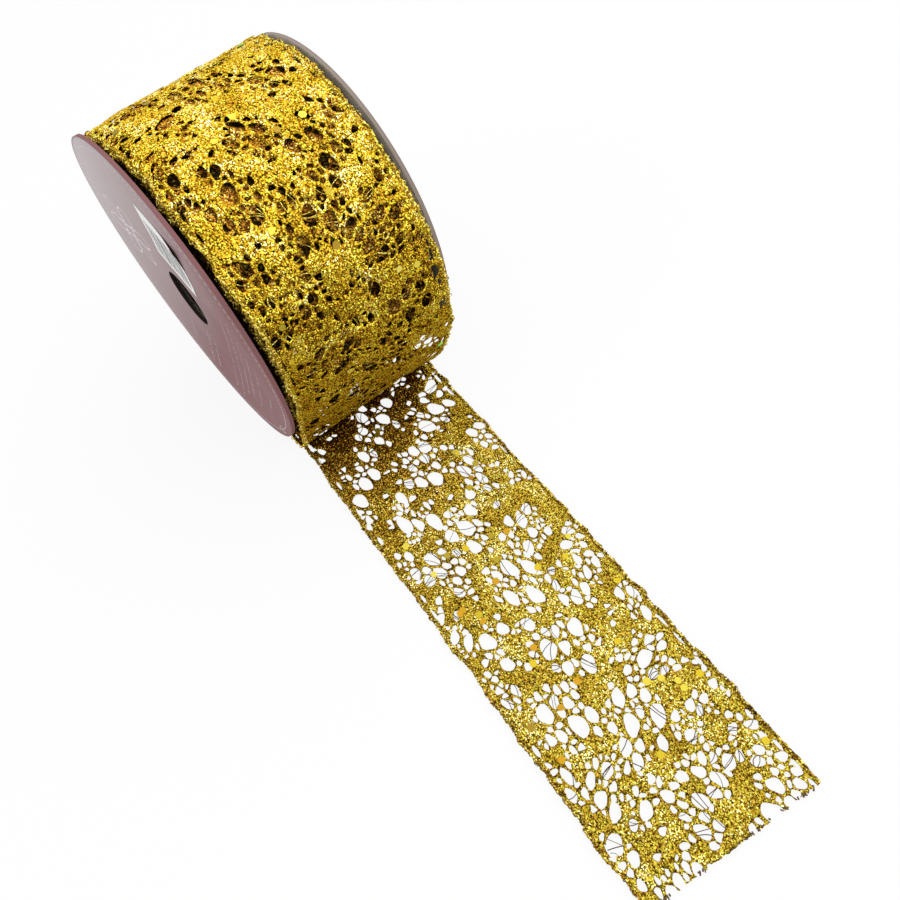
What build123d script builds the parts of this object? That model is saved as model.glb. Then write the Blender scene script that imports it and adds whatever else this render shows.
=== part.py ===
from build123d import *
from math import cos, radians, sin, sqrt, tan
import os

# Ribbon spool: two card discs on a paper tube, a roll of lace ribbon between them, and a flat tail.
# Millimetres. The origin is the middle of the spool's axis. +X runs along the axis from the printed
# front disc to the back disc, the tail leaves towards -Y, and +Z is up. The table is at -disc_radius.

# Ribbon
ribbon_width = 63.5
ribbon_thickness = 0.5
cord_radius = 0.4
cord_inset = 0.42
cord_gap = 0.05

# Discs, from the outside to the middle: a flat rim, a shallow cone, and a flat hub drawn inwards
disc_radius = 60.0
overall_width = 71.0
board_thickness = 1.2
facing_thickness = 0.15
hole_radius = 10.8
dish_depth = 1.0
dish_outer_radius = 50.0
dish_inner_radius = 26.0

# Core
core_radius = 24.0
core_wall = 2.0
glue_leg = 2.5
tape_thickness = 0.1
tape_width = 30.0
tape_arc = 40.0
layer_gap = 0.1

# Roll
wound_radius = 58.0
turn_steps = 40

# Sticker on the front facing, placed in the disc's plane
sticker_width = 22.0
sticker_height = 27.0
sticker_thickness = 0.1
sticker_centre_right = 9.8
sticker_centre_up = 28.8
sticker_turn = -18.0

# Tail, in its own straight frame that is turned about Z
tail_skew = -5.5
tail_side_offset = 4.4
tail_start = -14.0
tail_length = 239.0
tail_cut_slant = 4.3

# Sequins
sequin_radius = 1.45
sequin_thickness = 0.1
sequin_gap = 0.03
tail_sequin_count = 26
turn_sequin_count = 18
sequin_first = 0.2
sequin_stretch = 0.6
sequin_twist = 25.0
tail_sequin_first = -50.0
tail_sequin_margin = 8.0
golden_ratio = (sqrt(5) - 1) / 2

table = -disc_radius
half_width = overall_width / 2
half_ribbon = ribbon_width / 2
hub_outside = half_width - dish_depth
hub_inside = hub_outside - facing_thickness - board_thickness
cord_place = half_ribbon - cord_inset
half_web = cord_place - cord_radius - cord_gap

os.makedirs("parts", exist_ok=True)


def disc_layer(side, depth, thickness):
    """One dished layer of a disc. side is -1 at the front and 1 at the back.

    depth is how far its outer face lies under the spool's own outer face.
    """
    rim = side * (half_width - depth)
    hub = side * (hub_outside - depth)
    inwards = -side * thickness
    with BuildPart() as layer:
        with BuildSketch(Plane.XY):
            with BuildLine():
                Polyline(
                    (hub, hole_radius),
                    (hub, dish_inner_radius),
                    (rim, dish_outer_radius),
                    (rim, disc_radius),
                    (rim + inwards, disc_radius),
                    (rim + inwards, dish_outer_radius),
                    (hub + inwards, dish_inner_radius),
                    (hub + inwards, hole_radius),
                    close=True,
                )
            make_face()
        revolve(axis=Axis.X)
    return layer


def glue_bead(side):
    """A ring of glue in the corner between the tube's bore and a disc."""
    tube_bore = core_radius - core_wall
    with BuildPart() as bead:
        with BuildSketch(Plane.XY):
            with BuildLine():
                Polyline(
                    (side * hub_inside, tube_bore),
                    (side * hub_inside, tube_bore - glue_leg),
                    (side * (hub_inside - glue_leg), tube_bore),
                    close=True,
                )
            make_face()
        revolve(axis=Axis.X)
    return bead


def scatter(index):
    """A place across the ribbon, spread evenly by the golden ratio, clear of the cords."""
    return (2 * ((index * golden_ratio) % 1) - 1) * (half_web - 3 * sequin_radius)


def on_roll(travel, radius):
    """The point (y, z) at a radius, with travel in degrees from the bottom, up the back and over."""
    return (radius * sin(radians(travel)), -radius * cos(radians(travel)))


# Discs and their facings
front_flange_facing = disc_layer(-1, 0, facing_thickness)
front_flange_board = disc_layer(-1, facing_thickness, board_thickness)
back_flange_facing = disc_layer(1, 0, facing_thickness)
back_flange_board = disc_layer(1, facing_thickness, board_thickness)

# The sticker is cut out of a layer that follows the dished face it is stuck on
sticker_layer = disc_layer(-1, -sticker_thickness, sticker_thickness)
sticker_plane = Plane(
    origin=(-half_width, -sticker_centre_right, sticker_centre_up),
    x_dir=(0, -1, 0),
    z_dir=(-1, 0, 0),
)
with BuildPart() as barcode_sticker:
    add(sticker_layer.part)
    with BuildSketch(sticker_plane):
        Rectangle(sticker_width, sticker_height, rotation=sticker_turn)
    extrude(amount=board_thickness, both=True, mode=Mode.INTERSECT)

# Core tube, its two glue beads, and the tape that holds the ribbon's inner end
with BuildPart() as core_tube:
    with BuildSketch(Plane.YZ):
        Circle(core_radius)
        Circle(core_radius - core_wall, mode=Mode.SUBTRACT)
    extrude(amount=hub_inside, both=True)

front_glue_bead = glue_bead(-1)
back_glue_bead = glue_bead(1)

with BuildPart() as core_tape:
    with BuildSketch(Plane.XY):
        with Locations((0, core_radius + tape_thickness / 2)):
            Rectangle(tape_width, tape_thickness)
    revolve(axis=Axis.X, revolution_arc=tape_arc)

# The wound ribbon, from the tape out to the second turn
with BuildPart() as wound_ribbon:
    with BuildSketch(Plane.YZ):
        Circle(wound_radius)
        Circle(core_radius + tape_thickness + layer_gap, mode=Mode.SUBTRACT)
    extrude(amount=half_ribbon, both=True)

# The loose outer turn: flat under the roll, up the back, over the top, then sagging forward and
# down to the table, where it curls back in under the wound ribbon and rests just above the tail
under_height = table + 0.5
curl_height = table + 1.2
turn_points = [
    (-10.0, under_height),
    (0.0, under_height),
    on_roll(30, 59.4),
    on_roll(90, 59.2),
    on_roll(135, 59.6),
    on_roll(180, 60.2),
    on_roll(210, 61.0),
    on_roll(235, 62.4),
    on_roll(255, 64.6),
    on_roll(275, 66.0),
    on_roll(295, 66.5),
    (-53.0, -42.0),
    (-45.5, -52.5),
    (-38.0, -57.6),
    (-30.0, curl_height),
    (-21.0, curl_height),
    (-12.0, curl_height + 0.2),
]
turn_line = Spline(*turn_points, tangents=((1, 0), (1, 0.02)))


def beside_turn(share, distance):
    """A point (y, z) beside the loose turn's middle line, at a share of its length, outwards if > 0."""
    foot = turn_line @ share
    heading = turn_line % share
    return (foot.X + heading.Y * distance, foot.Y - heading.X * distance)


def turn_band(thickness, middles, half_length):
    """The loose turn's side outline at a thickness, extruded both ways from each place along X."""
    with BuildPart() as band:
        with BuildSketch(*[Plane.YZ.offset(middle) for middle in middles]):
            with BuildLine():
                for distance in (thickness / 2, -thickness / 2):
                    for step in range(turn_steps):
                        shares = [(step + part) / turn_steps for part in (0, 0.5, 1)]
                        ThreePointArc(*[beside_turn(share, distance) for share in shares])
                for share in (0, 1):
                    Line(beside_turn(share, thickness / 2), beside_turn(share, -thickness / 2))
            make_face()
        extrude(amount=half_length, both=True)
    return band


outer_turn = turn_band(ribbon_thickness, [0], half_web)
outer_turn_edge_cords = turn_band(2 * cord_radius, [-cord_place, cord_place], cord_radius)

with BuildPart() as outer_turn_sequins:
    for index in range(turn_sequin_count):
        along = sequin_first + sequin_stretch * (index + 0.5) / turn_sequin_count
        place = (scatter(index), *beside_turn(along, ribbon_thickness / 2 + sequin_gap))
        heading = turn_line % along
        direction = Vector(0, heading.X, heading.Y)
        outward = direction.cross(Vector(1, 0, 0))
        with BuildSketch(Plane(origin=place, x_dir=direction, z_dir=outward)):
            RegularPolygon(sequin_radius, 6)
        extrude(amount=sequin_thickness)

# The flat tail, from just in front of the roll's lowest line to its slanting cut end
tail_plane = Plane(
    origin=(tail_side_offset, 0, table),
    x_dir=(cos(radians(tail_skew)), sin(radians(tail_skew)), 0),
    z_dir=(0, 0, 1),
)


def cut_line(across):
    """How far along the tail its cut end lies, at a distance across from the middle."""
    return -tail_length - across * tan(radians(tail_cut_slant))


with BuildPart() as ribbon_tail:
    with BuildSketch(tail_plane):
        with BuildLine():
            Polyline(
                (-half_web, tail_start),
                (-half_web, cut_line(-half_web)),
                (half_web, cut_line(half_web)),
                (half_web, tail_start),
                close=True,
            )
        make_face()
    extrude(amount=ribbon_thickness)

with BuildPart() as tail_edge_cords:
    for across in (-cord_place, cord_place):
        cord_start = tail_plane.from_local_coords((across, tail_start, cord_radius))
        with BuildSketch(Plane(origin=cord_start, x_dir=tail_plane.x_dir, z_dir=-tail_plane.y_dir)):
            Circle(cord_radius)
        extrude(amount=tail_start - cut_line(across))

with BuildPart() as tail_sequins:
    with BuildSketch(tail_plane.offset(ribbon_thickness + sequin_gap)):
        for index in range(tail_sequin_count):
            share = (index + 0.5) / tail_sequin_count
            along = tail_sequin_first - share * (tail_length + tail_sequin_first - tail_sequin_margin)
            with Locations((scatter(index), along)):
                RegularPolygon(sequin_radius, 6, rotation=index * sequin_twist)
    extrude(amount=sequin_thickness)

nodes = {
    "front_flange_board": front_flange_board,
    "front_flange_facing": front_flange_facing,
    "barcode_sticker": barcode_sticker,
    "back_flange_board": back_flange_board,
    "back_flange_facing": back_flange_facing,
    "core_tube": core_tube,
    "front_glue_bead": front_glue_bead,
    "back_glue_bead": back_glue_bead,
    "core_tape": core_tape,
    "wound_ribbon": wound_ribbon,
    "outer_turn": outer_turn,
    "outer_turn_edge_cords": outer_turn_edge_cords,
    "outer_turn_sequins": outer_turn_sequins,
    "ribbon_tail": ribbon_tail,
    "tail_edge_cords": tail_edge_cords,
    "tail_sequins": tail_sequins,
}
for node_name, node in nodes.items():
    node.part.label = node_name
    export_step(node.part, f"parts/{node_name}.step")
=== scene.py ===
from math import cos, hypot, pi, radians, sin, sqrt, tan

import bpy
import numpy as np
from numpy import column_stack as columns
from mathutils import Matrix, Vector
from mathutils.geometry import delaunay_2d_cdt


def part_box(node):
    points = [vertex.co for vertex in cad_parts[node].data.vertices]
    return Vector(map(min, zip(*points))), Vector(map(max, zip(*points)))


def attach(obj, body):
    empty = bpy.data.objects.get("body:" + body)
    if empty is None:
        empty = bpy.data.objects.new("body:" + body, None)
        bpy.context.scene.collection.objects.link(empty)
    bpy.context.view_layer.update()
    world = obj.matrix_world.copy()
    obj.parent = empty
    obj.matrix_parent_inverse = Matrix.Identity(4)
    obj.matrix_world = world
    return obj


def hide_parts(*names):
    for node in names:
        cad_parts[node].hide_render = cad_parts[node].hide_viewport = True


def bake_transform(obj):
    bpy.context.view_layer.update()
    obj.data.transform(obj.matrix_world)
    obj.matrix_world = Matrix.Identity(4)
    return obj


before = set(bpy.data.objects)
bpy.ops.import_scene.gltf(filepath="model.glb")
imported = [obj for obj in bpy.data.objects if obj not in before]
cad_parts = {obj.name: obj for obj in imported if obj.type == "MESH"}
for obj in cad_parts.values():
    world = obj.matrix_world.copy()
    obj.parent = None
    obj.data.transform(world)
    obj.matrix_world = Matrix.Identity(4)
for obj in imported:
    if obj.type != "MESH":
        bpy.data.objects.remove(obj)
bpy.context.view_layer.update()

# The ribbon's own coordinates are millimetres: along it, across it and out of its face.
MM = 0.001
ROUND = 2 * pi
TINY = 1e-9

# ---- Sizes taken from the frame
front_low, front_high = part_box("front_flange_facing")
disc_radius = (front_high[2] - front_low[2]) / 2 / MM
front_face = front_low[0] / MM
table = front_low[2] / MM
half_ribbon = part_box("wound_ribbon")[1][0] / MM

# ---- The ribbon's lace: flower-like groups of holes, in rows along the ribbon
FLOWER_PITCH = 14.6
FLOWER_SIDE = 16.4
FLOWER_RADIUS = 9.9
FLOWER_LENGTHENING = 1.12
FLOWER_JITTER = 1.7
GRAIN_SPREAD = 0.5
LEAST_STRETCH = 1.35
STRETCH_SPREAD = 0.55
MOST_STRETCH = 2.7

# Seeds of holes, large ones first: least size, largest size, and tries in TRIES_LENGTH of ribbon
SEED_CLASSES = ((3.1, 3.7, 110), (2.3, 3.0, 330), (1.7, 2.3, 1300), (1.2, 1.6, 4200), (0.8, 1.1, 9000))
TRIES_LENGTH = 250.0
GROUND_TRIES = 17000
GROUND_SEED = 1.2
RIM_SEED = 0.9
GROUND_DEPTH = 0.93
OPEN_GROUND = 0.1
PACKING = 0.97
BUCKET = 4.0
EDGE_BAND = 2.0
NEAR_ROLL = 60

# Holes and the strands between them
STRAND_SPREAD = 0.5
SOLID_STRAND = 0.12
LEAST_REACH = 0.25
LEAST_HOLE = 0.36
CORNER_SHARPNESS = 6.5
EDGE_STRAND = 0.45

# The sheet: the spacing of its inner points, and its half thickness at a strand's rim and well inside
LATTICE = 1.0
LATTICE_JITTER = 0.22
RIM_HALF = 0.09
CROWN_HALF = 0.27
CROWN_REACH = 0.55
UV_UNIT = 100


def ramp(value, start, stop):
    """0 at start and 1 at stop, held beyond them."""
    return np.clip((value - start) / (stop - start), 0, 1)


def unit_rows(vectors):
    """Each row scaled to length 1."""
    return vectors / (np.linalg.norm(vectors, axis=1)[:, None] + TINY)


def turned_axes(angle):
    """The two axes of a plane turned by an angle, as rows."""
    return np.array([[cos(angle), sin(angle)], [-sin(angle), cos(angle)]])


def smooth_noise(seed, scale, waves=7):
    """A smooth random surface over (along, across), about -1 to 1."""
    rng = np.random.default_rng(seed)
    angles = rng.uniform(0, ROUND, waves)
    lengths = scale * rng.uniform(0.6, 1.8, waves)
    phases = rng.uniform(0, ROUND, waves)

    def surface(along, across):
        total = 0
        for angle, length, phase in zip(angles, lengths, phases):
            distance = along * cos(angle) + across * sin(angle)
            total = total + np.sin(ROUND * distance / length + phase)
        return total / sqrt(waves * 2)

    return surface


class Flowers:
    """Flower-like groups of holes, two and three abreast by turns, each with its own size and grain."""

    def __init__(self, rng, start, stop):
        centres = []
        along = start - FLOWER_PITCH
        wide = True
        while along < stop + FLOWER_PITCH:
            for step in (-2, 0, 2) if wide else (-1, 1):
                centres.append((along, step * FLOWER_SIDE))
            along += FLOWER_PITCH
            wide = not wide
        count = len(centres)
        self.centres = np.array(centres) + rng.normal(0, FLOWER_JITTER, (count, 2))
        self.radius = FLOWER_RADIUS * rng.uniform(0.84, 1.08, count)
        self.lobes = rng.uniform(0, ROUND, count)
        grain = rng.normal(0, GRAIN_SPREAD, count)
        stretch = np.minimum(LEAST_STRETCH + np.abs(rng.normal(0, STRETCH_SPREAD, count)), MOST_STRETCH)
        metric = []
        for angle, pull in zip(grain, stretch):
            turn = turned_axes(angle)
            metric.append(turn.T @ np.diag([pull ** -0.6, pull ** 0.4]) @ turn)
        self.metric = np.array(metric + [np.eye(2)])

    def nearest(self, points):
        """Each point's flower, and its depth: 0 at the flower's middle and 1 at its wavy outline."""
        offset = points[:, None, :] - self.centres[None]
        angle = np.arctan2(offset[..., 1], offset[..., 0])
        wave = 1 + 0.13 * np.cos(5 * angle + self.lobes[None]) + 0.06 * np.cos(3 * angle - self.lobes[None])
        depth = np.hypot(offset[..., 0] / FLOWER_LENGTHENING, offset[..., 1]) / (self.radius[None] * wave)
        return depth.argmin(axis=1), depth.min(axis=1)


def scatter_seeds(rng, start, stop, closed):
    """Packs the flowers with seeds of mixed sizes, and the ground between them with solid seeds."""
    flowers = Flowers(rng, start, stop)
    ground = len(flowers.centres)
    grid = {}
    places, sizes, solid, owner = [], [], [], []

    def fits(point, size, metric):
        (xx, xy), (yx, yy) = metric
        column, row = int(point[0] // BUCKET), int(point[1] // BUCKET)
        for near_column in range(column - 2, column + 3):
            for near_row in range(row - 2, row + 3):
                for index in grid.get((near_column, near_row), ()):
                    dx, dy = point[0] - places[index][0], point[1] - places[index][1]
                    gap = hypot(xx * dx + xy * dy, yx * dx + yy * dy)
                    if gap < PACKING * (size + sizes[index]):
                        return False
        return True

    def put(point, size, is_solid, group):
        grid.setdefault((int(point[0] // BUCKET), int(point[1] // BUCKET)), []).append(len(places))
        places.append((float(point[0]), float(point[1])))
        sizes.append(size)
        solid.append(is_solid)
        owner.append(group)

    share = (stop - start) / TRIES_LENGTH
    limit = half_ribbon - EDGE_BAND
    for smallest, largest, tries in SEED_CLASSES:
        count = int(tries * share)
        points = columns([rng.uniform(start, stop, count), rng.uniform(-limit, limit, count)])
        groups, depths = flowers.nearest(points)
        chosen_sizes = rng.uniform(smallest, largest, count)
        metrics = flowers.metric[groups].tolist()
        for point, group, depth, size, metric in zip(points.tolist(), groups, depths, chosen_sizes, metrics):
            if depth < 1.0 - 0.45 * size / FLOWER_RADIUS and abs(point[1]) < limit - size * 0.5:
                if fits(point, size, metric):
                    chance = closed[0] + closed[1] * (point[0] < NEAR_ROLL)
                    put(point, size, rng.random() < chance, group)
    count = int(GROUND_TRIES * share)
    points = columns([rng.uniform(start, stop, count), rng.uniform(-half_ribbon, half_ribbon, count)])
    _, depths = flowers.nearest(points)
    for point, depth in zip(points.tolist(), depths):
        on_ground = depth > GROUND_DEPTH
        size = GROUND_SEED if on_ground else RIM_SEED
        if fits(point, size, ((1, 0), (0, 1))):
            put(point, size, on_ground and rng.random() > OPEN_GROUND, ground)
    return np.array(places), np.array(sizes), np.array(solid), flowers.metric[owner]


def pair_chance(first, second):
    """A chance from 0 to 1 that is fixed for each pair of seeds, and is the same from either side."""
    wave = np.sin((second + first) * 12.99 + second * float(first) * 0.0783) * 437.58
    return wave - np.floor(wave)


def hole_outlines(rng, start, stop, closed, strand_least):
    """Every hole as (centre, angles, radii): a rounded cell between its neighbours' strands."""
    places, sizes, solid, metric = scatter_seeds(rng, start, stop, closed)
    holes = []
    for index in np.flatnonzero(~solid):
        size = sizes[index]
        offset = (places - places[index]) @ metric[index].T
        gap = np.hypot(offset[:, 0], offset[:, 1])
        near = np.flatnonzero((gap > 0) & (gap < 3 * size + 7))
        offset, gap = offset[near], gap[near]
        strand = strand_least + STRAND_SPREAD * pair_chance(index, near) ** 2
        strand[solid[near]] += SOLID_STRAND
        reach = np.maximum((gap ** 2 + size ** 2 - sizes[near] ** 2) / (2 * gap) - strand, LEAST_REACH)
        steps = 12 if size < 1.1 else 20
        angles = np.arange(steps) * ROUND / steps
        heading = columns([np.cos(angles), np.sin(angles)])
        pull = np.clip(heading @ (offset / gap[:, None]).T, 0, None) / reach
        tilt = rng.uniform(0, pi)
        longest = size * rng.uniform(1.5, 2.4)
        widest = size * rng.uniform(1.15, 1.6)
        shell = np.hypot(np.cos(angles - tilt) / longest, np.sin(angles - tilt) / widest)
        total = (pull ** CORNER_SHARPNESS).sum(axis=1) + shell ** CORNER_SHARPNESS
        radii = total ** (-1 / CORNER_SHARPNESS)
        first, second = rng.uniform(0, ROUND, 2)
        radii *= 1 + 0.07 * np.cos(3 * angles + first) + 0.05 * np.cos(5 * angles + second)
        rim = (heading * radii[:, None]) @ np.linalg.inv(metric[index]).T
        rim_angles = np.arctan2(rim[:, 1], rim[:, 0]) % ROUND
        order = np.argsort(rim_angles)
        rim_radii = np.hypot(rim[:, 0], rim[:, 1])[order]
        radii = np.interp(angles, rim_angles[order], rim_radii, period=ROUND)
        if radii.mean() > LEAST_HOLE:
            holes.append((places[index], angles, radii))
    return holes + edge_slits(rng, start, stop)


def edge_slits(rng, start, stop):
    """Long narrow holes just inside the corded edges."""
    slits = []
    for side in (-1, 1):
        along = start + rng.uniform(0, 6)
        while along < stop:
            length = rng.uniform(1.6, 3.4)
            if rng.random() < 0.4:
                angles = np.arange(14) * ROUND / 14
                width = rng.uniform(0.45, 0.75)
                radii = 1 / np.hypot(np.cos(angles) / length, np.sin(angles) / width)
                place = np.array([along, side * (half_ribbon - 2.4 + rng.uniform(-0.2, 0.3))])
                slits.append((place, angles, radii))
            along += 2 * length + rng.uniform(0.8, 3.5)
    return slits


def hole_loop(hole):
    """The points of a hole's outline."""
    centre, angles, radii = hole
    return centre + columns([np.cos(angles), np.sin(angles)]) * radii[:, None]


def radius_towards(hole, angle):
    """A hole's radius in any direction."""
    _, angles, radii = hole
    return np.interp(angle % ROUND, np.append(angles, ROUND), np.append(radii, radii[0]))


def room_around(points, holes, reach=3.0):
    """How far each point lies from the nearest hole's edge, less than 0 inside a hole."""
    room = np.full(len(points), reach)
    order = np.argsort(points[:, 0])
    along = points[order, 0]
    for hole in holes:
        centre, _, radii = hole
        span = radii.max() + reach
        first, last = np.searchsorted(along, (centre[0] - span, centre[0] + span))
        chosen = order[first:last]
        offset = points[chosen] - centre
        distance = np.hypot(offset[:, 0], offset[:, 1])
        inside = distance < span
        chosen, offset, distance = chosen[inside], offset[inside], distance[inside]
        gap = distance - radius_towards(hole, np.arctan2(offset[:, 1], offset[:, 0]))
        room[chosen] = np.minimum(room[chosen], gap)
    return room


def ribbon_edge(along, side, seed):
    """Where the wavy edge of the lace lies across the ribbon."""
    wave = smooth_noise(seed + (5 if side > 0 else 9), 16.0)(along, 0 * along)
    nick = smooth_noise(seed + (6 if side > 0 else 8), 4.0)(along, 0 * along)
    return side * (half_ribbon - 0.75 + 0.6 * wave + 0.26 * nick)


def lace_holes(rng, start, stop, closed, strand_least, seed):
    """The holes that leave a whole strand between themselves and the ribbon's wavy edge."""
    kept = []
    for hole in hole_outlines(rng, start, stop, closed, strand_least):
        loop = hole_loop(hole)
        edge = ribbon_edge(loop[:, 0], 1 if hole[0][1] > 0 else -1, seed)
        if np.min(np.abs(edge) - np.abs(loop[:, 1])) > EDGE_STRAND:
            kept.append(hole)
    return kept


def add_object(name, data):
    """Puts a new object in the scene."""
    made = bpy.data.objects.new(name, data)
    bpy.context.scene.collection.objects.link(made)
    return made


def new_mesh_object(name, points, faces, material, uvs=None, smooth=True, fullness=None):
    """A mesh object from points in millimetres. fullness is 0 at a strand's rim and 1 well inside."""
    mesh = bpy.data.meshes.new(name)
    mesh.from_pydata((np.asarray(points) * MM).tolist(), [], faces)
    if uvs is not None:
        layer = mesh.uv_layers.new(name="ribbon")
        corners = np.empty(len(mesh.loops), dtype=np.int32)
        mesh.loops.foreach_get("vertex_index", corners)
        layer.data.foreach_set("uv", np.asarray(uvs, dtype=np.float32)[corners].ravel())
    if fullness is not None:
        attribute = mesh.attributes.new("fullness", "FLOAT", "POINT")
        attribute.data.foreach_set("value", np.asarray(fullness, dtype=np.float32))
    mesh.polygons.foreach_set("use_smooth", [smooth] * len(mesh.polygons))
    mesh.materials.append(material)
    mesh.validate()
    return add_object(name, mesh)


class Stretch:
    """One stretch of the ribbon: its ends, where it lies, how slanted its cut end is, and its holes.

    closed is the share of seeds that stay solid, and how much more it is near the roll. strand is the
    least width of a strand, and spare is how far the holes go on past its ends.
    """

    def __init__(self, name, start, stop, place, seeds, closed, strand, slant=0.0, spare=(0, 0)):
        self.name, self.start, self.stop, self.place, self.slant = name, start, stop, place, slant
        self.seed = seeds[0]
        self.rng = np.random.default_rng(seeds[1])
        self.holes = lace_holes(self.rng, start - spare[0], stop + spare[1], closed, strand, self.seed)

    def bend(self, flat):
        """Points in the ribbon's coordinates (along, across, out), bent into place."""
        return self.place(*flat.T)


def sheet_outline(rng, strip):
    """The strip's outline, counter-clockwise, with wavy edges and a slanting, slightly frayed end."""
    end_points = 50
    start, stop = strip.start, strip.stop
    along = np.linspace(start, stop, int((stop - start) / 1.2))
    right, left = (columns([along, ribbon_edge(along, side, strip.seed)]) for side in (1, -1))
    across = np.linspace(half_ribbon - 1.9, -half_ribbon + 1.9, end_points)
    end = columns([np.full(end_points, stop) + rng.normal(0, 0.22, end_points), across])
    outline = np.vstack([right, end, left[::-1]])[::-1]
    outline[:, 0] += ramp(outline[:, 0], stop - 30, stop) * outline[:, 1] * tan(strip.slant)
    return outline


def inner_points(rng, strip, lattice):
    """A shaken triangular lattice of points on the strands, clear of the holes and the edges."""
    lines = np.arange(strip.start, strip.stop + 3, lattice)
    rows = np.arange(-half_ribbon + 2.0, half_ribbon - 1.9, lattice)
    inner = np.array([(a + (lattice / 2 if k % 2 else 0), b) for a in lines for k, b in enumerate(rows)])
    inner += rng.uniform(-LATTICE_JITTER, LATTICE_JITTER, inner.shape) * lattice
    inner = inner[inner[:, 0] < strip.stop - 1 + inner[:, 1] * tan(strip.slant)]
    inner = inner[inner[:, 0] > strip.start + 0.5]
    return inner[room_around(inner, strip.holes) > 0.3]


def lace_sheet(strip, material, lattice=LATTICE):
    """Cuts the holes out of a strip of ribbon, gives it a crowned thickness and bends it into place."""
    rng = np.random.default_rng(strip.seed)
    points = [sheet_outline(rng, strip)]
    points += [hole_loop(hole) for hole in strip.holes if strip.start - 4 <= hole[0][0] <= strip.stop + 4]
    firsts = np.cumsum([0] + [len(loop) for loop in points])
    loops = [list(range(first, last)) for first, last in zip(firsts, firsts[1:])]
    points.append(inner_points(rng, strip, lattice))

    flat = [Vector(point) for point in np.vstack(points).tolist()]
    result = delaunay_2d_cdt(flat, [], loops, 0, 1e-5, True)
    spots = np.array([tuple(v) for v in result[0]])
    triangles = [t for t, owners in zip(result[2], result[5]) if 0 in owners and len(owners) == 1]

    directed = dict.fromkeys(pair for a, b, c in triangles for pair in ((a, b), (b, c), (c, a)))
    rims = [pair for pair in directed if pair[::-1] not in directed]
    room = np.clip(room_around(spots, strip.holes), 0, 2)
    room[[index for pair in rims for index in pair]] = 0
    crown = RIM_HALF + (CROWN_HALF - RIM_HALF) * (1 - np.exp(-room / CROWN_REACH))
    crown += (room > 0) * rng.uniform(-0.06, 0.09, len(spots))

    used = np.unique(np.array(triangles))
    size = len(used)
    number = np.full(len(spots), -1)
    number[used] = np.arange(size)
    spots, crown, room = spots[used], crown[used], room[used]
    placed = [strip.bend(columns([spots, out])) for out in (crown, -0.8 * crown)]
    faces = []
    for a, b, c in number[np.array(triangles)].tolist():
        faces.append((a, b, c))
        faces.append((c + size, b + size, a + size))
    for a, b in number[np.array(rims)].tolist():
        faces.append((b, a, a + size, b + size))
    uvs = np.vstack([spots, spots]) / UV_UNIT
    fullness = np.tile(1 - np.exp(-room / 0.4), 2)
    name = strip.name + "_lace"
    return new_mesh_object(name, np.vstack(placed), faces, material, uvs, fullness=fullness)


# ---- Where the ribbon lies
TAIL_SKEW = radians(5.5)
TAIL_SIDE = 4.4
TAIL_START = 9.0
TAIL_END = 239.0
TAIL_SLANT = radians(4.3)
TAIL_LIFT = 0.34
TAIL_LEAST_LIFT = 0.3

tail_wave = smooth_noise(61, 46.0)
tail_ripple = smooth_noise(62, 15.0)


def tail_place(along, across, out):
    """Lays the tail flat on the table, with a slight ripple that dies away under the roll."""
    ripple = 0.45 * (tail_wave(along, across) + 1.2) + 0.14 * (tail_ripple(along, across) + 1)
    lift = TAIL_LIFT + ramp(along, 45, 75) * ripple
    x = TAIL_SIDE + across * cos(TAIL_SKEW) - along * sin(TAIL_SKEW)
    y = -across * sin(TAIL_SKEW) - along * cos(TAIL_SKEW)
    return columns([x, y, table + np.maximum(lift, TAIL_LEAST_LIFT) + out])


def curve_through(points, step=0.5, pieces_each=24):
    """A smooth even polyline through the points, as Catmull-Rom pieces, and its lengths so far."""
    points = np.array(points, dtype=float)
    padded = np.vstack([2 * points[0] - points[1], points, 2 * points[-1] - points[-2]])
    share = np.linspace(0, 1, pieces_each, endpoint=False)[:, None]
    pieces = []
    for before, start, end, after in zip(padded, padded[1:], padded[2:], padded[3:]):
        pull = 2 * before - 5 * start + 4 * end - after
        twist = 3 * start - before - 3 * end + after
        pieces.append(start + 0.5 * share * (end - before + share * (pull + share * twist)))
    fine = np.vstack(pieces + [points[-1:]])
    length = np.append(0, np.cumsum(np.hypot(*np.diff(fine, axis=0).T)))
    even = np.arange(0, length[-1], step)
    return columns([np.interp(even, length, fine[:, 0]), np.interp(even, length, fine[:, 1])]), even


# The loose turn's path as (y, z): under the roll, up its back and over the top, given by its travel in
# degrees from the bottom and its radius, then sagging forward, curling in and ending under the roll
START_UNDER = [(-10, table + 0.75), (0, table + 0.7)]
TURN_RADII = (
    (15, 59.3), (30, 59.6), (60, 59.9), (90, 59.9), (115, 59.9), (140, 59.9), (165, 60.0),
    (190, 60.2), (210, 61.0), (235, 62.4), (255, 64.4), (275, 65.8), (295, 66.3),
)
CURL_IN = [(-53, -42), (-46, -52), (-38.5, -57.4)]
END_UNDER = [(-30, table + 1.45), (-21, table + 1.35), (-13, table + 1.35)]
on_roll = [(size * sin(radians(travel)), -size * cos(radians(travel))) for travel, size in TURN_RADII]
turn_path, turn_along = curve_through(START_UNDER + on_roll + CURL_IN + END_UNDER)
turn_heading = np.gradient(turn_path, axis=0)
turn_heading /= np.hypot(*turn_heading.T)[:, None]
turn_travel = np.degrees(np.unwrap(np.arctan2(turn_path[:, 0], -turn_path[:, 1])))
turn_travel += 360 * (turn_travel[len(turn_travel) // 2] < 0)
TURN_LENGTH = float(turn_along[-1])

turn_lump = smooth_noise(71, 17.0)
turn_crease = smooth_noise(72, 42.0)
turn_wrinkle = smooth_noise(74, 6.5)
left_dip = smooth_noise(73, 34.0)


def held_share(travel):
    """0 where the loose turn is pressed to the table at its two ends, and 1 between them."""
    return ramp(travel, 8, 28) * ramp(travel, 325, 307)


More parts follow.
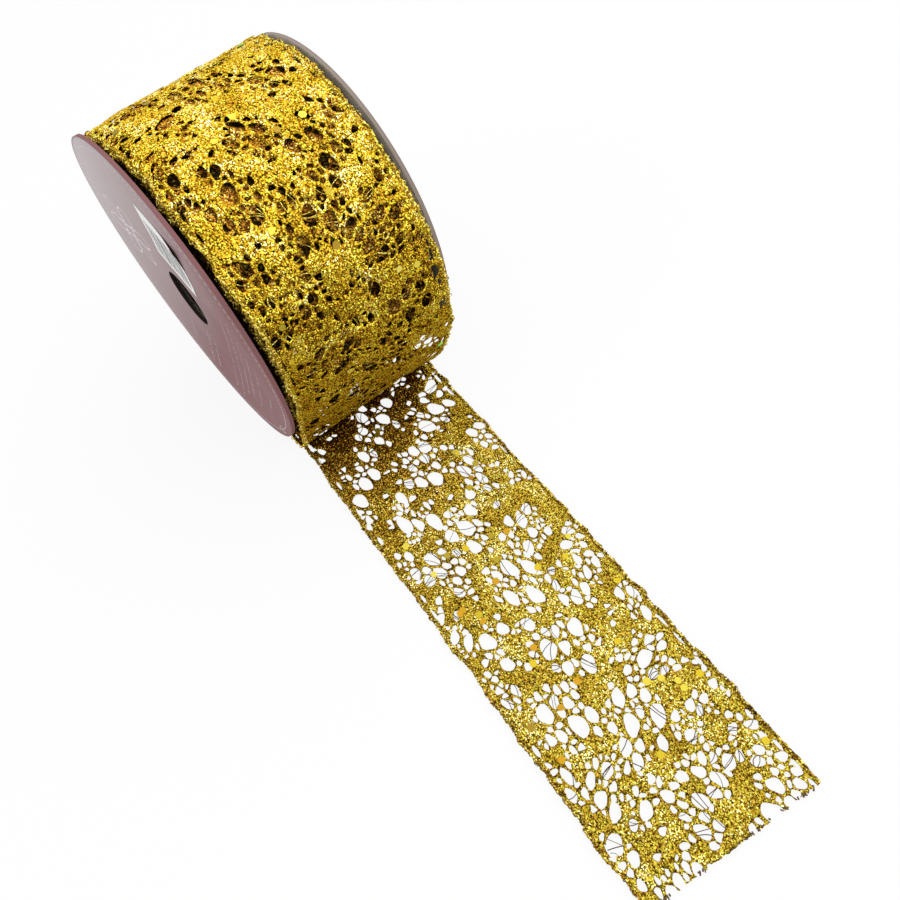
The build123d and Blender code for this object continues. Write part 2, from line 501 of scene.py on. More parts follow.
def turn_sag(along, across, travel):
    """How far the loose turn sinks towards the roll, at its edges and where it hangs free."""
    left = np.exp(-(across + half_ribbon) / 6.5)
    right = np.exp(-(half_ribbon - across) / 4.5)
    over_top = ramp(travel, 146, 158) * ramp(travel, 233, 219)
    dip = 0.7 + 0.45 * left_dip(along, 0 * along) + 3.2 * over_top
    tilt = 6.5 * ramp(travel, 236, 276) * (half_ribbon - across) / (2 * half_ribbon)
    return held_share(travel) * (left * np.clip(dip, 0.1, 4.6) - 0.35 * right + tilt)


def turn_place(along, across, out):
    """Wraps the loose turn over the roll, sagging at its edges and slightly lumpy."""
    y, z = (np.interp(along, turn_along, part) for part in turn_path.T)
    heading_y, heading_z = (np.interp(along, turn_along, part) for part in turn_heading.T)
    travel = np.interp(along, turn_along, turn_travel)
    loose = ramp(travel, 215, 275)
    lump = (0.22 + 0.18 * loose) * turn_lump(along, across) + 0.45 * loose * turn_crease(along, across)
    lump = lump + 0.1 * turn_wrinkle(along, across)
    height = out + held_share(travel) * lump - turn_sag(along, across, travel)
    return columns([across, y + heading_z * height, z - heading_y * height])


SECOND_RADIUS = 58.7


def second_sink(across):
    """How far the wound turns lie lower at their edges."""
    return 4.0 * np.exp(-(across + half_ribbon) / 5.0) + 1.4 * np.exp(-(half_ribbon - across) / 3.5)


def second_place(along, across, out):
    """Lays the turn beneath the loose one round the roll, lower at its edges."""
    travel = along / SECOND_RADIUS
    radius = SECOND_RADIUS - second_sink(across) + 0.05 * turn_lump(along, across) + out
    return columns([across, radius * np.sin(travel), -radius * np.cos(travel)])


# ---- Materials
# The numbers of a mix node's two colour inputs and of its colour result
MIX_FIRST, MIX_SECOND, MIX_RESULT = 6, 7, 2


def join(tree, value, socket):
    """Sets a shader input to a value, or links it to a socket."""
    if isinstance(value, bpy.types.NodeSocket):
        tree.links.new(value, socket)
    else:
        socket.default_value = value


def add_node(tree, kind, settings=None, **inputs):
    """Adds a shader node with its properties and its named inputs, which are values or sockets."""
    made = tree.nodes.new("ShaderNode" + kind)
    for key, value in (settings or {}).items():
        setattr(made, key, value)
    for key, value in inputs.items():
        join(tree, value, made.inputs[key.replace("_", " ")])
    return made


def maths(tree, operation, *values, kind="Math", result=0):
    """A maths node on values or sockets. result is 1 for a vector operation that gives a number."""
    made = add_node(tree, kind, {"operation": operation})
    for value, socket in zip(values, made.inputs):
        join(tree, value, socket)
    return made.outputs[result]


def scaled(tree, vector, amount):
    """A vector times a number."""
    return add_node(tree, "VectorMath", {"operation": "SCALE"}, Vector=vector, Scale=amount).outputs[0]


def mixed(tree, factor, first, second, blend="MIX"):
    """A mix of two colours. Returns its result."""
    made = add_node(tree, "Mix", {"data_type": "RGBA", "blend_type": blend})
    for number, value in ((0, factor), (MIX_FIRST, first), (MIX_SECOND, second)):
        join(tree, value, made.inputs[number])
    return made.outputs[MIX_RESULT]


def map_range(tree, value, from_low, from_high, to_low=0.0, to_high=1.0):
    """A number moved from one range to another."""
    return add_node(
        tree, "MapRange", Value=value, From_Min=from_low, From_Max=from_high, To_Min=to_low, To_Max=to_high
    ).outputs[0]


def noise(tree, place, scale, detail=2.0, size="3D"):
    """A noise texture node."""
    return add_node(tree, "TexNoise", {"noise_dimensions": size}, Vector=place, Scale=scale, Detail=detail)


def add_bump(tree, shader, height, strength, distance):
    """Fine relief on a material."""
    made = add_node(tree, "Bump", Height=height, Strength=strength, Distance=distance)
    tree.links.new(made.outputs[0], shader.inputs["Normal"])


def new_material(name, **inputs):
    """A principled material. Returns it, its node tree and its shader node."""
    material = bpy.data.materials.new(name)
    material.use_nodes = True
    tree = material.node_tree
    shader = tree.nodes["Principled BSDF"]
    for key, value in inputs.items():
        shader.inputs[key.replace("_", " ")].default_value = value
    return material, tree, shader


def colour_ramp(tree, factor, stops, constant=False):
    """A colour ramp through (place, red, green, blue) stops. Returns its colour socket."""
    made = add_node(tree, "ValToRGB", Fac=factor)
    made.color_ramp.interpolation = "CONSTANT" if constant else "LINEAR"
    elements = made.color_ramp.elements
    while len(elements) < len(stops):
        elements.new(1.0)
    for element, (place, *colour) in zip(elements, stops):
        element.position = place
        element.color = (*colour, 1)
    return made.outputs["Color"]


def tinted(colour, amount):
    """A colour made darker or lighter, up to white."""
    return [min(part * amount, 1) for part in colour]


def tilted_normal(tree, random_colour, amount, facing):
    """The surface normal, turned by a different amount on every flake, and leaning to the viewer.

    Flakes that face away are hidden behind their neighbours, so those that are seen face the viewer.
    """
    def vectors(operation, *values):
        return maths(tree, operation, *values, kind="VectorMath")

    centred = vectors("SUBTRACT", random_colour, (0.5, 0.5, 0.5))
    surface = add_node(tree, "NewGeometry")
    turned = vectors("ADD", surface.outputs["Normal"], scaled(tree, centred, amount))
    slope = add_node(tree, "LayerWeight")
    lean = maths(tree, "ADD", slope.outputs["Facing"], facing)
    leant = vectors("ADD", turned, scaled(tree, surface.outputs["Incoming"], lean))
    return vectors("NORMALIZE", leant)


GOLD_GLANCE = (0.42, 0.22, 0.02, 1)
HUE_SPREAD = 0.032
TONE_LENGTH = 10.0
CLUMP_LENGTH = 1.5


def glitter(
    name, stops, flake, tilt, roughness, metallic=1.0,
    patch=0.3, clump=0.2, facing=0.6, rim_shade=0.0, painted_shade=None, on_ribbon=True,
):
    """Flakes of glitter, each with its own colour and tilt, over a tone that wanders by patch.

    flake is a size in millimetres, and clump is the share of tilt that neighbours have in common.
    The (from, to, amount) argument paints shade: the flakes grow darker by the amount between two places
    along the ribbon.
    """
    material, tree, shader = new_material(
        name, Roughness=roughness, Metallic=metallic, Specular_Tint=GOLD_GLANCE
    )
    if on_ribbon:
        place = add_node(tree, "UVMap", {"uv_map": "ribbon"}).outputs["UV"]
        unit = float(UV_UNIT)
        size = "2D"
    else:
        place = add_node(tree, "TexCoord").outputs["Object"]
        unit = 1 / MM
        size = "3D"
    cells = add_node(tree, "TexVoronoi", {"voronoi_dimensions": size}, Vector=place, Scale=unit / flake)
    parts = add_node(tree, "SeparateColor", Color=cells.outputs["Color"])
    tone = noise(tree, place, unit / TONE_LENGTH, size=size)
    shift = maths(tree, "SUBTRACT", tone.outputs["Fac"], 0.5)
    level = maths(tree, "MULTIPLY_ADD", shift, patch, parts.outputs["Red"])
    # Painted shade: the flakes darker towards a strand's rim.
    if rim_shade:
        full = add_node(tree, "Attribute", {"attribute_name": "fullness"})
        lack = maths(tree, "SUBTRACT", full.outputs["Fac"], 1.0)
        level = maths(tree, "MULTIPLY_ADD", lack, rim_shade, level)
    # Painted shade: the flakes grow darker between two places along the ribbon.
    if painted_shade:
        along = add_node(tree, "SeparateXYZ", Vector=place).outputs["X"]
        level = maths(tree, "ADD", level, map_range(tree, along, painted_shade[0] / unit, painted_shade[1] / unit, 0, -painted_shade[2]))
    hue = map_range(tree, parts.outputs["Green"], 0, 1, 0.5 - HUE_SPREAD, 0.5 + HUE_SPREAD)
    varied = add_node(tree, "HueSaturation", Hue=hue, Color=colour_ramp(tree, level, stops))
    tree.links.new(varied.outputs[0], shader.inputs["Base Color"])
    coarse = noise(tree, place, unit / CLUMP_LENGTH, 1.0, size)
    blended = mixed(tree, clump, cells.outputs["Color"], coarse.outputs["Color"])
    tree.links.new(tilted_normal(tree, blended, tilt, facing), shader.inputs["Normal"])
    return material


# The tail's lace, with painted shade that darkens it towards the roll, for the roll's shadow.
gold_lace = glitter("gold_lace", (
    (0.0, 0.045, 0.02, 0.002), (0.24, 0.13, 0.07, 0.006), (0.5, 0.27, 0.175, 0.012),
    (0.76, 0.41, 0.3, 0.024), (0.93, 0.64, 0.54, 0.08), (1.0, 1.0, 0.97, 0.52),
), flake=0.32, tilt=1.3, roughness=0.22, rim_shade=0.06, patch=0.5, clump=0.12, facing=0.3, painted_shade=(95, 20, 0.3))

# The loose turn's lace: the tail's gold lace painted brighter as painted light on the roll, with painted
# shade towards the roll's low front.
painted_lit_lace = glitter("painted_lit_lace", (
    (0.0, 0.036, 0.014, 0.001), (0.22, 0.195, 0.082, 0.005), (0.48, 0.435, 0.24, 0.01),
    (0.75, 0.615, 0.425, 0.022), (0.92, 0.82, 0.71, 0.09), (1.0, 1.0, 0.97, 0.56),
), flake=0.34, tilt=1.15, roughness=0.24, rim_shade=0.04, patch=0.5, clump=0.16, painted_shade=(245, 345, 0.23))

# The wound turn beneath the loose one: the same gold lace painted dark, as painted shade for the shade it
# lies in.
dark_lace = glitter("dark_lace", (
    (0.0, 0.02, 0.009, 0.003), (0.3, 0.12, 0.042, 0.007), (0.6, 0.28, 0.118, 0.01),
    (0.88, 0.65, 0.36, 0.03), (1.0, 1.0, 0.83, 0.24),
), flake=0.36, tilt=1.2, roughness=0.3, rim_shade=0.1)

# The wound pack: gold lace painted near black, as painted shade for the shade deep under the turns.
deep_shade_lace = glitter("deep_shade_lace", (
    (0.0, 0.004, 0.003, 0.001), (0.55, 0.016, 0.009, 0.003), (0.88, 0.05, 0.028, 0.006),
    (1.0, 0.3, 0.2, 0.04),
), flake=0.5, tilt=0.8, roughness=0.5, metallic=0.8, on_ribbon=False)

gold_cord = glitter("gold_cord", (
    (0.0, 0.11, 0.055, 0.006), (0.4, 0.33, 0.205, 0.016), (0.75, 0.64, 0.46, 0.036),
    (1.0, 0.96, 0.82, 0.24),
), flake=0.45, tilt=1.0, roughness=0.25)

# A darker copy of the gold cord; on the wound turn beneath the loose one it is painted shade.
brown_cord = glitter("brown_cord", (
    (0.0, 0.03, 0.014, 0.003), (0.4, 0.13, 0.068, 0.008), (0.75, 0.35, 0.225, 0.02),
    (1.0, 0.85, 0.7, 0.16),
), flake=0.45, tilt=1.0, roughness=0.3)

dark_thread, _, _ = new_material(
    "dark_thread", Base_Color=(0.085, 0.045, 0.010, 1), Roughness=0.45, Metallic=0.3
)


def sequin_material(name, gain):
    """Shiny plastic sequins in a few gold tones, with now and then a green or a mauve one."""
    material, tree, shader = new_material(name, Roughness=0.4, Metallic=0.85)
    tone = add_node(tree, "UVMap", {"uv_map": "ribbon"}).outputs["UV"]
    parts = add_node(tree, "SeparateXYZ", Vector=tone)
    stops = (
        (0.0, 0.86, 0.64, 0.03), (0.3, 0.56, 0.42, 0.03), (0.5, 0.76, 0.42, 0.02),
        (0.66, 0.95, 0.78, 0.08), (0.84, 0.48, 0.3, 0.03), (0.93, 0.96, 0.82, 0.14),
        (0.96, 0.3, 0.9, 0.02), (0.98, 0.56, 0.33, 0.29),
    )
    stops = [(place, *tinted(colour, gain)) for place, *colour in stops]
    tree.links.new(colour_ramp(tree, parts.outputs["X"], stops, constant=True), shader.inputs["Base Color"])
    return material


gold_sequin = sequin_material("gold_sequin", 0.78)
dull_sequin = sequin_material("dull_sequin", 0.55)


# ---- Tubes, cords, threads and sequins
CORD_SIDES = 8
THREAD_SIDES = 4
CORD_STEP = 0.34
CORD_TWIST = 1.7
CORD_RADIUS = 0.34
BINDING_RADIUS = 0.13
BINDING_STEPS = 9
FRINGE_PITCH = 1.1
LOOP_STEPS = 8


def loft(rings, sides, first=0, closed=False):
    """Faces through rings of points in turn, capped at both ends unless it closes on itself."""
    faces = []
    for ring in range(rings if closed else rings - 1):
        low = first + ring * sides
        high = first + (ring + 1) % rings * sides
        for k in range(sides):
            faces.append((low + k, low + (k + 1) % sides, high + (k + 1) % sides, high + k))
    if not closed:
        last = first + (rings - 1) * sides
        faces.append(tuple(first + k for k in reversed(range(sides))))
        faces.append(tuple(last + k for k in range(sides)))
    return faces


def tube_points(path, radius, sides):
    """Rings of points of a tube along a path in ribbon coordinates (along, across, out)."""
    heading = unit_rows(np.gradient(path, axis=0))
    up = np.array([0.0, 0.0, 1.0]) + 0.01 * heading[:, [1, 2, 0]]
    side = unit_rows(np.cross(heading, up))
    up = np.cross(side, heading)
    turn = np.arange(sides) * ROUND / sides
    radius = np.broadcast_to(radius, (len(path), sides))
    ring = side[:, None] * np.cos(turn)[None, :, None] + up[:, None] * np.sin(turn)[None, :, None]
    return (path[:, None] + ring * radius[..., None])[:, ::-1].reshape(-1, 3)


def tubes_object(name, tubes, strip, material):
    """One object from many (path, radius, sides) tubes, bent into place."""
    points, faces, count = [], [], 0
    for path, radius, sides in tubes:
        points.append(tube_points(path, radius, sides))
        faces += loft(len(path), sides, count)
        count += len(points[-1])
    flat = np.vstack(points)
    uvs = flat[:, :2] / UV_UNIT + flat[:, 2:] / 160
    return new_mesh_object(strip.name + name, strip.bend(flat), faces, material, uvs)


def fringe_loops(rng, start, stop, side, seed, fringe):
    """Small untidy loops of thread that stand out past a corded edge."""
    loops = []
    for along in np.arange(start + 2, stop - 2, FRINGE_PITCH):
        if rng.random() < 0.35:
            continue
        centre = along + rng.uniform(-0.4, 0.4)
        half_span = rng.uniform(0.3, 0.5 + 0.5 * fringe)
        reach = fringe * rng.uniform(0.3, 1.0)
        swing = np.linspace(-0.35, pi + 0.35, LOOP_STEPS)
        edge = ribbon_edge(np.full(LOOP_STEPS, centre), side, seed)
        path = columns([
            centre + half_span * np.cos(swing) + rng.uniform(-0.3, 0.3) * np.sin(swing),
            edge + side * (0.15 + reach * np.sin(swing)),
            fringe * rng.uniform(-0.1, 0.7) * np.sin(swing),
        ])
        loops.append((path, rng.uniform(0.1, 0.18), THREAD_SIDES))
    return loops


def edge_cords(strip, fringe, material):
    """A twisted cord along each edge, bound over with looped thread."""
    rng = np.random.default_rng(strip.seed + 300)
    corners = np.arange(CORD_SIDES)[None] * ROUND / CORD_SIDES
    start = strip.start
    tubes = []
    for side in (-1, 1):
        end = strip.stop + side * half_ribbon * tan(strip.slant)
        along = np.arange(start, end, CORD_STEP)
        across = ribbon_edge(along, side, strip.seed) + side * 0.02
        ridge = np.cos(2 * corners - ROUND * along[:, None] / CORD_TWIST)
        swell = (1 + 0.16 * np.sin(along / 3.1))[:, None]
        thickness = (CORD_RADIUS + 0.14 * fringe) * swell * (1 + 0.2 * ridge)
        tubes.append((columns([along, across, 0 * along]), thickness, CORD_SIDES))
        turns = np.cumsum(rng.uniform(0.75, 1.3, int((end - start) / FRINGE_PITCH)))
        turns = start + turns[turns < end - start - 1]
        phase = np.arange(0, len(turns) - 1, 1 / BINDING_STEPS)
        along = np.interp(phase, np.arange(len(turns)), turns)
        middle = ribbon_edge(along, side, strip.seed) - side * 0.22
        size = 1 + 0.25 * np.sin(phase * 1.7) * np.sin(phase * 0.61)
        across = middle + side * 0.78 * size * np.cos(ROUND * phase)
        binding = columns([along, across, 0.56 * size * np.sin(ROUND * phase)])
        tubes.append((binding, BINDING_RADIUS, THREAD_SIDES))
        tubes += fringe_loops(rng, start, end, side, strip.seed, fringe)
    return tubes_object("_cords", tubes, strip, material)


def crossing_threads(strip):
    """Hair-thin threads that cross the larger holes."""
    rng = strip.rng
    steps = 6
    share = np.linspace(0, 1, steps)
    tubes = []
    for hole in strip.holes:
        centre, _, radii = hole
        if radii.mean() < 1.35 or not strip.start + 3 < centre[0] < strip.stop - 4:
            continue
        if rng.random() > 0.45:
            continue
        facing = rng.uniform(0, pi)
        for _ in range(rng.integers(1, 4)):
            ends = []
            for angle in (facing + rng.normal(0, 0.35), facing + pi + rng.normal(0, 0.6)):
                reach = radius_towards(hole, angle) + 0.25
                ends.append(centre + reach * np.array([cos(angle), sin(angle)]))
            bow = rng.normal(0, 0.35) * np.sin(pi * share)
            heading = (ends[1] - ends[0]) / np.linalg.norm(ends[1] - ends[0])
            path = ends[0] + share[:, None] * (ends[1] - ends[0])
            path += bow[:, None] * np.array([-heading[1], heading[0]])
            lift = np.full(steps, rng.uniform(-0.08, 0.12))
            tubes.append((columns([path, lift]), rng.uniform(0.08, 0.15), THREAD_SIDES))
    return tubes


def cut_stubs(strip, count=40):
    """Short frayed threads that stand out of the cut end."""
    rng = strip.rng
    share = np.linspace(0, 1, 4)
    tubes = []
    for _ in range(count):
        across = rng.uniform(-half_ribbon + 0.5, half_ribbon - 0.5)
        base = strip.stop + across * tan(strip.slant) - 0.8
        path = columns([
            base + share * rng.uniform(0.6, 1.3),
            across + share ** 2 * rng.normal(0, 0.6),
            share * rng.uniform(-0.1, 0.25),
        ])
        tubes.append((path, rng.uniform(0.15, 0.3), THREAD_SIDES))
    return tubes


def sequins(strip, near, far, count, material):
    """Small six-sided flakes lying on the lace, each with its own tilt and tone."""
    rng = strip.rng
    tries = count * 4
    limit = half_ribbon - 3
    along = rng.uniform(strip.start + near, strip.stop - far, tries)
    spots = columns([along, rng.uniform(-limit, limit, tries)])
    points, faces, tones = [], [], []
    for spot in spots[room_around(spots, strip.holes) > 0.1][:count]:
        radius = rng.uniform(1.15, 1.45)
        turn = rng.uniform(0, pi) + np.arange(6) * ROUND / 6
        slope = rng.normal(0, 0.07, 2)
        offset = columns([np.cos(turn), np.sin(turn)]) * radius
        lift = 0.42 + offset @ slope
        faces += loft(2, 6, 6 * len(points))
        points += [columns([spot + offset, lift - 0.09]), columns([spot + offset, lift])]
        tones += [rng.random()] * 12
    placed = strip.bend(np.vstack(points))
    name = strip.name + "_flakes"
    return new_mesh_object(name, placed, faces, material, columns([tones, tones]), smooth=False)


# ---- The pack of wound ribbon
DRUM_RADIUS = 57.9
CORE_GAP_RADIUS = 24.3
DRUM_SIDES = 300
END_LAYERS = 74


def wound_pack():
    """The tightly wound turns: a crowned drum whose ends show the edges of the layers, painted near black as
    painted shade for the shade inside the pack.
    """
    rng = np.random.default_rng(401)
    around = np.linspace(0, ROUND, DRUM_SIDES, endpoint=False)
    across = np.concatenate([
        np.linspace(-half_ribbon + 0.6, -half_ribbon + 9, 12),
        np.linspace(-half_ribbon + 10.5, half_ribbon - 10.5, 26),
        np.linspace(half_ribbon - 9, half_ribbon - 0.6, 12),
    ])
    sink = second_sink(across)
    ends = []
    for end, end_sink in ((-1, sink[0]), (1, sink[-1])):
        layers = np.linspace(CORE_GAP_RADIUS, DRUM_RADIUS - end_sink - 0.5, END_LAYERS)
        wander = rng.uniform(-0.75, 0.75, END_LAYERS)
        rings = []
        for radius, shift in zip(layers, wander):
            ripple = 0.35 * np.sin(around * rng.integers(5, 19) + rng.uniform(0, 6))
            ripple = ripple + rng.uniform(-0.3, 0.3, DRUM_SIDES)
            rings.append((end * (half_ribbon - 0.55 + 0.45 * shift + 0.4 * ripple), radius))
        ends.append(rings)
    skin = []
    for place, low in zip(across, sink):
        lump = 0.12 * np.sin(around * 13 + place * 0.4) + 0.1 * np.sin(around * 29 - place * 0.7)
        skin.append((place, DRUM_RADIUS - low + lump))
    inside = [(place, CORE_GAP_RADIUS) for place in np.linspace(half_ribbon - 1.5, -half_ribbon + 1.5, 6)]
    points = []
    for place, radius in ends[0] + skin + ends[1][::-1] + inside:
        x = np.broadcast_to(place, DRUM_SIDES)
        points.append(columns([x, radius * np.sin(around), -radius * np.cos(around)]))
    faces = loft(len(points), DRUM_SIDES, closed=True)
    return new_mesh_object("wound_pack", np.vstack(points), faces, deep_shade_lace)


# ---- Print and sticker on the front disc
DISH_DEPTH = 1.0
DISH_OUTER = 50.0
DISH_INNER = 26.0
INK_SUNK = -0.02
INK_RAISED = 0.05
RING_RADIUS = 56.6
RING_PITCH = 2.3
RING_DASH = 1.35
FLOWER_CENTRE = np.array([-32.0, 12.0])
PETALS = 6
MARK_WIDTH = 0.8
PRINT_OUTER = 54.5
PRINT_INNER = 12.5
BADGE_CENTRE = np.array([41.7, -38.4])
BADGE_RADIUS = 1.7

PRINT_TURN = radians(65)
read_along, read_up = turned_axes(PRINT_TURN)

# Rows of dashes: height up the print, and where the row starts and ends along it
PRINT_ROWS = (
    (5.0, -47, -20), (-6.7, -48, -15), (-11.5, -45, -19), (-19.0, 29, 38), (-23.5, -40, 30),
    (-28.0, -41, 35), (-32.0, -30, 28), (-36.0, -25, 20), (-41.0, -22, 16), (-48.0, -8, 6),
)


def front_point(right, up, lift):
    """A point above the front disc's dished face, seen from the front: right is -Y and up is +Z."""
    dip = DISH_DEPTH * ramp(np.hypot(right, up), DISH_OUTER, DISH_INNER)
    return columns([front_face + dip - lift, -np.asarray(right), np.asarray(up)])


def add_strip(points, faces, edges):
    """Adds a thin strip to a mesh's points and faces. edges are its four long edges in turn."""
    length = len(edges[0])
    faces += loft(length, 4, sum(len(part) for part in points))
    points.append(np.stack(edges, axis=1).reshape(-1, 3))


def arc(radius, steps, start=0, stop=ROUND):
    """The points of an arc, or of a circle closed on itself."""
    turn = np.linspace(start, stop, steps)
    return radius * columns([np.cos(turn), np.sin(turn)])


def printed_ink(material):
    """The pale printed pattern: a dashed ring, a six-petalled flower and rows of plain dashes."""
    rng = np.random.default_rng(501)
    points, faces = [], []

    def stroke(path, width):
        """A thin flat stroke along a path of (right, up) points."""
        heading = unit_rows(np.gradient(path, axis=0))
        side = columns([-heading[:, 1], heading[:, 0]]) * width / 2
        left, right = (path + side).T, (path - side).T
        add_strip(points, faces, [
            front_point(*left, INK_SUNK),
            front_point(*left, INK_RAISED),
            front_point(*right, INK_RAISED),
            front_point(*right, INK_SUNK),
        ])

    for start in np.arange(0, 360, RING_PITCH):
        stroke(arc(RING_RADIUS, 3, radians(start), radians(start + RING_DASH)), 0.34)
    petal_outline = arc(1, 22) * (5.4, 3.4) + (8.8, 0)
    for petal in range(PETALS):
        outline = petal_outline @ turned_axes(petal * ROUND / PETALS)
        stroke(FLOWER_CENTRE + outline[:, :1] * read_along + outline[:, 1:] * read_up, MARK_WIDTH)
    stroke(FLOWER_CENTRE + arc(2.6, 22), MARK_WIDTH)
    for height, first, last in PRINT_ROWS:
        along = first
        while along < last - 1:
            length = rng.uniform(0.5, 1.2)
            share = np.array([along, along + length])[:, None]
            slope = rng.uniform(-0.45, 0.45) * np.array([-1, 1])[:, None]
            dash = share * read_along + (height + slope) * read_up
            reach = np.hypot(*dash.T)
            if reach.max() < PRINT_OUTER and reach.min() > PRINT_INNER:
                stroke(dash, 0.26)
            along += length + rng.choice([0.8, 1.2, 2.6])
    stroke(BADGE_CENTRE + arc(BADGE_RADIUS, 25), 0.35)
    return new_mesh_object("printed_ink", np.vstack(points), faces, material, smooth=False)


STICKER_TURN = radians(-18)
STICKER_CENTRE = np.array([9.8, 28.8])
STICKER_SIZE = (22.0, 27.0)
STICKER_THICKNESS = 0.1
STICKER_COLUMNS = 25
STICKER_ROWS = 31
CORNER_LIFT = 1.5
BAR_RISES = (0.09, 0.125)
sticker_right, sticker_up = turned_axes(STICKER_TURN)


def sticker_point(u, v, rise):
    """A point above the sticker's underside. It comes away from the disc at its upper right corner."""
    right, up = (STICKER_CENTRE + u[:, None] * sticker_right + v[:, None] * sticker_up).T
    towards_corner = np.clip((u / STICKER_SIZE[0] + v / STICKER_SIZE[1]) * 1.6 - 0.75, 0, 1)
    lift = 0.05 + CORNER_LIFT * towards_corner ** 2 + 0.03 * np.sin(u * 0.9) * np.sin(v * 0.7)
    return front_point(right, up, lift + rise)


def sticker_sheet(material):
    """The paper sticker, with one corner lifting."""
    u = np.linspace(-0.5, 0.5, STICKER_COLUMNS) * STICKER_SIZE[0]
    ring = np.append(u, u[::-1])
    rise = np.repeat((STICKER_THICKNESS, 0), STICKER_COLUMNS)
    rows = np.linspace(-0.5, 0.5, STICKER_ROWS) * STICKER_SIZE[1]
    points = np.vstack([sticker_point(ring, np.full(len(ring), v), rise) for v in rows])
    return new_mesh_object("sticker_sheet", points, loft(STICKER_ROWS, len(ring)), material)


def sticker_bars(material):
    """Plain bars printed on the sticker, following its lift."""
    rng = np.random.default_rng(511)
    v = np.linspace(-11.0, 6.5, 14)
    points, faces = [], []
    place = -9.2
    while place < 9.0:
        width = rng.choice([0.22, 0.4, 0.62])
        near, far = np.full(len(v), place), np.full(len(v), place + width)
        low, high = BAR_RISES
        corners = ((near, low), (near, high), (far, high), (far, low))
        add_strip(points, faces, [sticker_point(u, v, rise) for u, rise in corners])
        place += width + rng.choice([0.3, 0.5, 0.8])
    return new_mesh_object("sticker_bars", np.vstack(points), faces, material, smooth=False)


# ---- Materials of the card parts
BORE_RADIUS = 10.8
BORE_SHADE = (0.018, 0.013, 0.012, 1)
# The pale grey of a painted sheen on the disc's print.
PAINTED_SHEEN = (0.52, 0.485, 0.495, 1)
CUT_DEPTH = 0.06
RIM_DARK_WIDTH = 0.7


def place_radius(tree):
    """The shaded point's distance from the spool's axis, in millimetres, and its object place."""
    place = add_node(tree, "TexCoord").outputs["Object"]
    parts = add_node(tree, "SeparateXYZ", Vector=place)
    flat = add_node(tree, "CombineXYZ", Y=parts.outputs["Y"], Z=parts.outputs["Z"])
    length = maths(tree, "LENGTH", flat.outputs[0], kind="VectorMath", result=1)
    return maths(tree, "MULTIPLY", length, 1 / MM), place


def finish_card(tree, shader, radius, colour):
    """Paints the cut inside the disc's hole dark, as painted shade, and the rest in its colour."""
    bore = maths(tree, "LESS_THAN", radius, BORE_RADIUS + CUT_DEPTH)
    tree.links.new(mixed(tree, bore, colour, BORE_SHADE), shader.inputs["Base Color"])


def board_material(name, edge, face):
    """Card whose cut edge is tinted and whose face is specked with fibres."""
    material, tree, shader = new_material(name, Roughness=0.85, IOR=1.2)
    radius, place = place_radius(tree)
    fibre = noise(tree, place, 420.0, 6.0).outputs["Fac"]
    specks = add_node(tree, "TexVoronoi", Vector=place, Scale=560.0).outputs["Distance"]
    tone = colour_ramp(tree, fibre, ((0.3, *tinted(face, 0.86)), (0.7, *tinted(face, 1.1))))
    speck = colour_ramp(tree, specks, ((0.0, 0.28, 0.22, 0.18), (0.16, 1.0, 1.0, 1.0)))
    specked = mixed(tree, 0.8, tone, speck, blend="MULTIPLY")
    rim = maths(tree, "GREATER_THAN", radius, disc_radius - CUT_DEPTH)
    finish_card(tree, shader, radius, mixed(tree, rim, specked, (*edge, 1)))
    add_bump(tree, shader, fibre, 0.25, 0.0004)
    return material


def facing_material(name, colour, sheen):
    """Printed paper: a faintly mottled tint under a thin clear coat, darker at the rim.

    The last argument is how far the tint turns pale grey towards the disc's upper back: a painted sheen for
    the light it reflects there.
    """
    material, tree, shader = new_material(
        name, Roughness=0.42, IOR=1.06, Specular_IOR_Level=0.5, Coat_Weight=0.10, Coat_Roughness=0.12
    )
    radius, place = place_radius(tree)
    mottle = noise(tree, place, 90.0, 5.0).outputs["Fac"]
    tint = colour_ramp(tree, mottle, ((0.3, *tinted(colour, 0.9)), (0.72, *tinted(colour, 1.1))))
    # Painted sheen: the print turns pale grey towards the disc's upper back.
    height = maths(tree, "DOT_PRODUCT", place, (0, 0.8, 0.6), kind="VectorMath", result=1)
    sheened = mixed(tree, map_range(tree, height, -0.02, 0.055, 0, sheen), tint, PAINTED_SHEEN)
    # Darker towards the rim.
    rim_dark = map_range(tree, radius, disc_radius - RIM_DARK_WIDTH, disc_radius)
    finish_card(tree, shader, radius, mixed(tree, rim_dark, sheened, (*tinted(colour, 0.8), 1)))
    grain = noise(tree, place, 900.0, 3.0).outputs["Fac"]
    add_bump(tree, shader, grain, 0.12, 0.0002)
    return material


def plain_material(name, colour, scale, roughness, contrast=0.12, **more):
    """One colour with a fine mottled grain."""
    material, tree, shader = new_material(name, Roughness=roughness, **more)
    place = add_node(tree, "TexCoord").outputs["Object"]
    grain = noise(tree, place, scale, 5.0).outputs["Fac"]
    stops = ((0.3, *tinted(colour, 1 - contrast)), (0.7, *tinted(colour, 1 + contrast)))
    tree.links.new(colour_ramp(tree, grain, stops), shader.inputs["Base Color"])
    add_bump(tree, shader, grain, 0.2, 0.0003)
    return material


